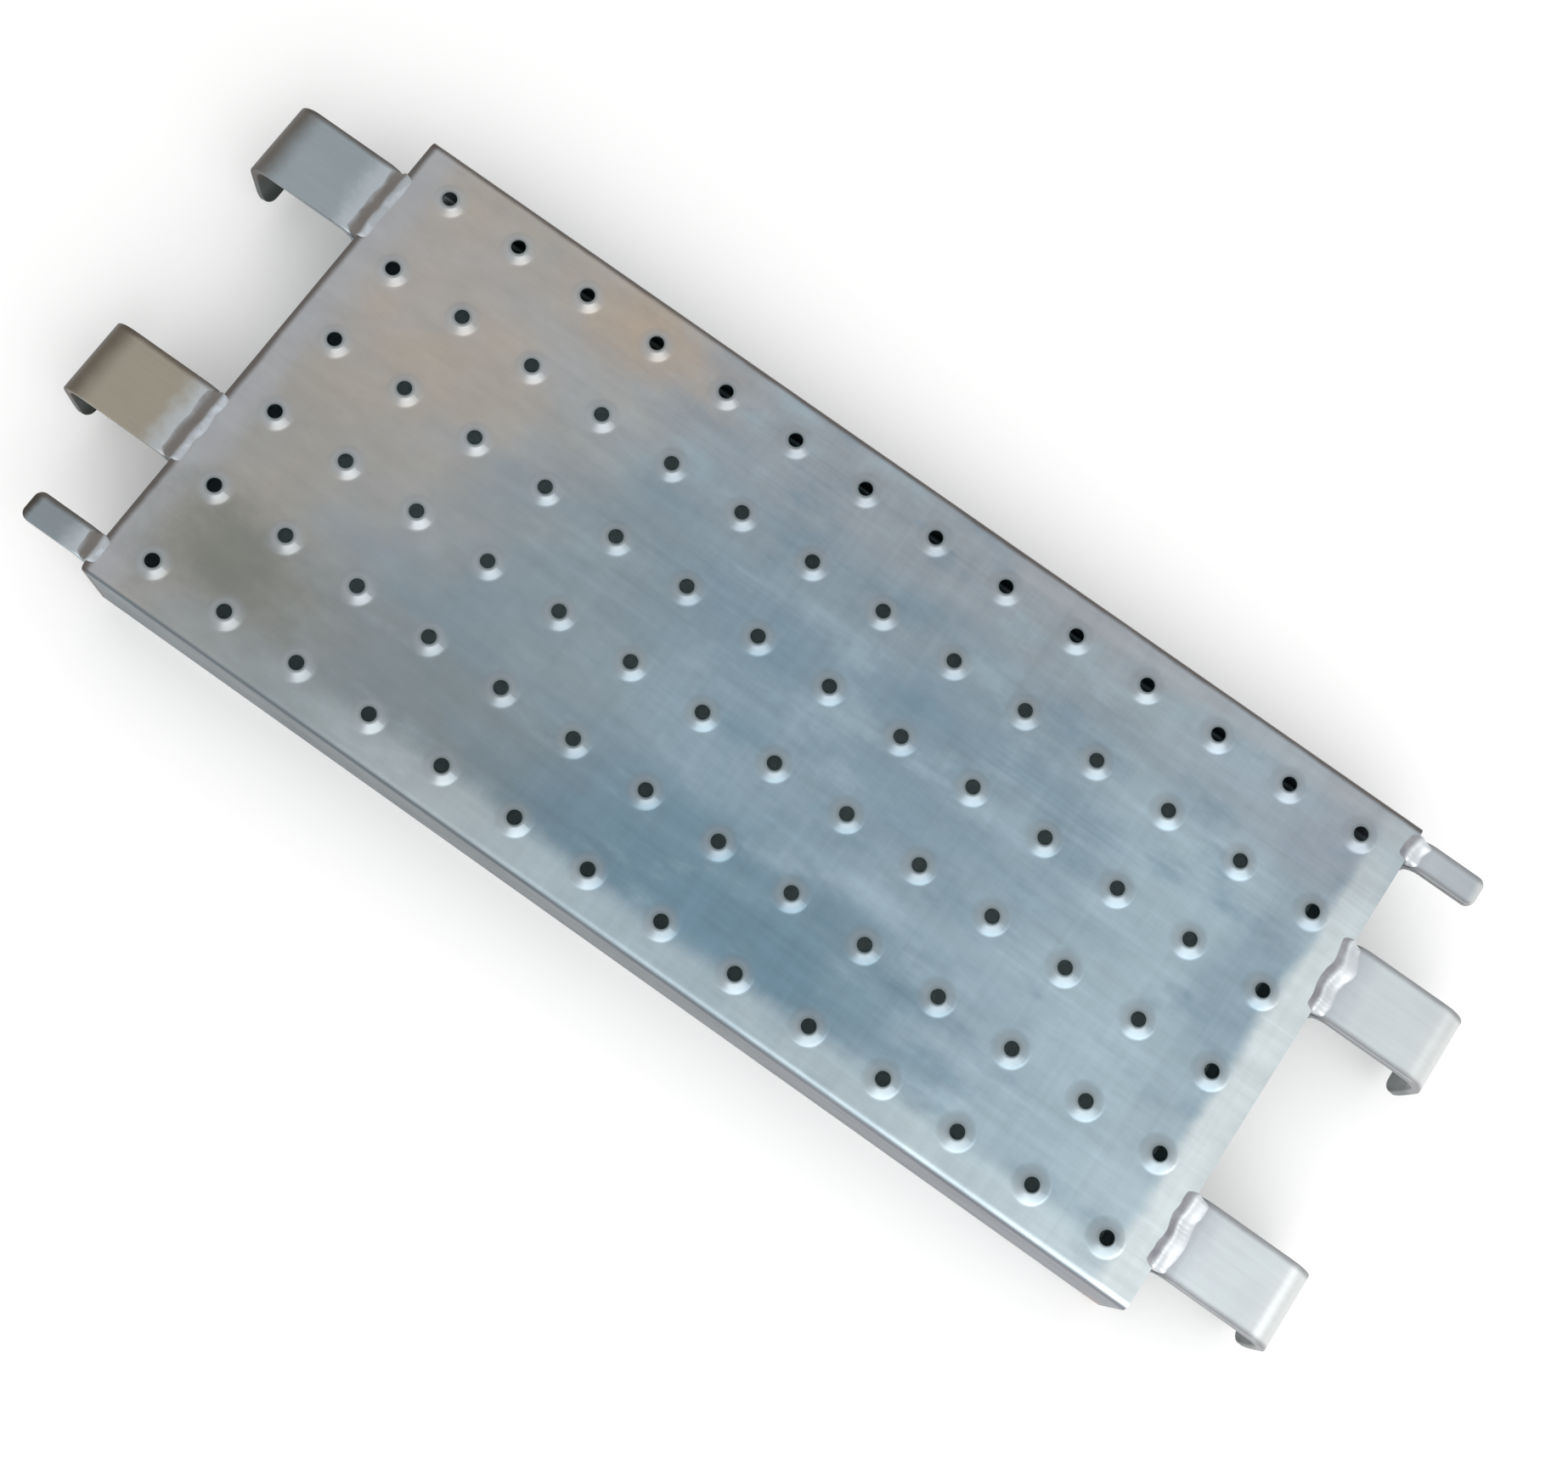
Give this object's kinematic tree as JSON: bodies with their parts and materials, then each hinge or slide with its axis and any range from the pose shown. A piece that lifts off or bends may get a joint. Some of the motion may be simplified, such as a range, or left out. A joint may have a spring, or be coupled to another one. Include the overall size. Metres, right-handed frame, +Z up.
{
  "type": "scaffold plank",
  "caption": "Galvanised steel scaffold plank with raised drain holes in its deck and bent hooks at both ends that hang on a scaffold tube.",
  "frame": {"origin": "centre of the plank on the floor it lies on, under its bottom lips", "axes": "+X along the plank, +Y across it, +Z up through the deck"},
  "size_m": [0.662, 0.25, 0.0525],
  "materials": {
    "galvanised_sheet": "satin galvanised",
    "galvanised_bar": "satin galvanised",
    "weld": "rippled"
  },
  "bodies": {
    "root": {"deck": "galvanised_sheet", "cross_rib": "galvanised_sheet", "end_plate_right": "galvanised_sheet", "end_plate_left": "galvanised_sheet", "hook_outer_right": "galvanised_bar", "hook_outer_left": "galvanised_bar", "hook_inner_right": "galvanised_bar", "hook_inner_left": "galvanised_bar", "lug_right": "galvanised_bar", "lug_left": "galvanised_bar", "bead_outer_right": "weld", "bead_outer_left": "weld", "bead_inner_right": "weld", "bead_inner_left": "weld", "bead_lug_right": "weld", "bead_lug_left": "weld"}
  },
  "joints": []
}
